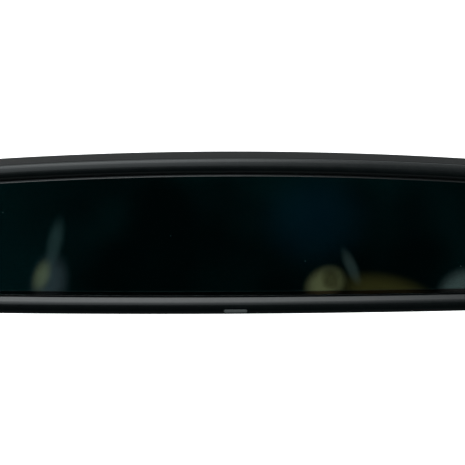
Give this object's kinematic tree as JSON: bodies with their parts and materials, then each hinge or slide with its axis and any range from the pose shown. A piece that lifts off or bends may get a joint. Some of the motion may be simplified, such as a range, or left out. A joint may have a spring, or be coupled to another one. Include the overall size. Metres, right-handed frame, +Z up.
{
  "type": "interior rearview mirror",
  "caption": "Interior rear-view mirror: wide auto-dimming glass in a slim black rim and shallow rear shell, on a short double-ball arm with a bonded windshield foot.",
  "frame": {"origin": "centre of the bonding face that sits on the windshield", "axes": "+X to the right along the mirror's width, +Z up, glass faces -Y; the windshield's normal lies in the YZ plane, 50 degrees of slope"},
  "size_m": [0.248, 0.127, 0.066],
  "materials": {
    "black_housing": "fine matte grain, black ABS",
    "black_bezel": "satin black ABS",
    "clear_glass": "polished clear front lite",
    "dimming_gel": "clear gel",
    "epoxy_seal": "cured epoxy bead",
    "mirror_glass": "second lite with a mirror coating",
    "contact_strip": "bare spring bronze",
    "grey_foam": "adhesive foam",
    "carrier_plastic": "moulded ABS",
    "board_green": "solder-masked board",
    "sensor_black": "moulded epoxy",
    "lens_smoke": "smoked polycarbonate",
    "socket_black": "moulded nylon",
    "pin_tin": "plated contact",
    "zinc_steel": "zinc-plated steel",
    "ball_steel": "ground and nickel-plated steel",
    "seat_nylon": "natural acetal",
    "black_tube": "black e-coated steel",
    "spring_steel": "oiled spring wire",
    "black_zinc": "black painted zinc casting",
    "screw_steel": "black oxide steel",
    "button_metal": "sintered steel",
    "bond_film": "cured bonding film"
  },
  "bodies": {
    "foot": {"foot_ball_stud": "ball_steel", "foot_bracket": "black_zinc", "set_screw": "screw_steel", "windshield_button": "button_metal", "adhesive_pad": "bond_film"},
    "foot_outer_ring": {"foot_outer_seat": "seat_nylon"},
    "foot_inner_cup": {"foot_inner_seat": "seat_nylon"},
    "arm": {"arm_tube": "black_tube", "arm_spring": "spring_steel", "spring_washers": "zinc_steel"},
    "head_inner_cup": {"head_inner_seat": "seat_nylon"},
    "head_outer_ring": {"head_outer_seat": "seat_nylon"},
    "head": {"front_bezel": "black_bezel", "rear_housing": "black_housing", "front_glass": "clear_glass", "ec_gel": "dimming_gel", "edge_seal": "epoxy_seal", "rear_glass": "mirror_glass", "bus_clip_top": "contact_strip", "bus_clip_bottom": "contact_strip", "foam_pad": "grey_foam", "glass_carrier": "carrier_plastic", "circuit_board": "board_green", "glare_sensor": "sensor_black", "ambient_sensor": "sensor_black", "ambient_sensor_lens": "lens_smoke", "connector_socket": "socket_black", "connector_pins": "pin_tin", "stud_plate": "zinc_steel", "head_ball_stud": "ball_steel", "stud_nut": "zinc_steel", "plate_screws": "zinc_steel", "board_screws": "zinc_steel"}
  },
  "joints": [
    {"name": "foot_pitch", "type": "hinge", "parent": "foot", "child": "foot_outer_ring", "pos_m": [0, -0.029, -0.00764], "axis": [1, 0, 0], "range_deg": [-6, 26]},
    {"name": "foot_yaw", "type": "hinge", "parent": "foot_outer_ring", "child": "foot_inner_cup", "pos_m": [0, -0.029, -0.00764], "axis": [0, 0, 1], "range_deg": [-16, 16]},
    {"name": "foot_roll", "type": "hinge", "parent": "foot_inner_cup", "child": "arm", "pos_m": [0, -0.029, -0.00764], "axis": [0, -0.9848, 0.1736], "range_deg": [-20, 20]},
    {"name": "head_roll", "type": "hinge", "parent": "arm", "child": "head_inner_cup", "pos_m": [0, -0.07233, 0], "axis": [0, -0.9848, 0.1736], "range_deg": [-20, 20]},
    {"name": "head_yaw", "type": "hinge", "parent": "head_inner_cup", "child": "head_outer_ring", "pos_m": [0, -0.07233, 0], "axis": [0, 0, 1], "range_deg": [-16, 16]},
    {"name": "head_pitch", "type": "hinge", "parent": "head_outer_ring", "child": "head", "pos_m": [0, -0.07233, 0], "axis": [1, 0, 0], "range_deg": [-26, 6]}
  ]
}
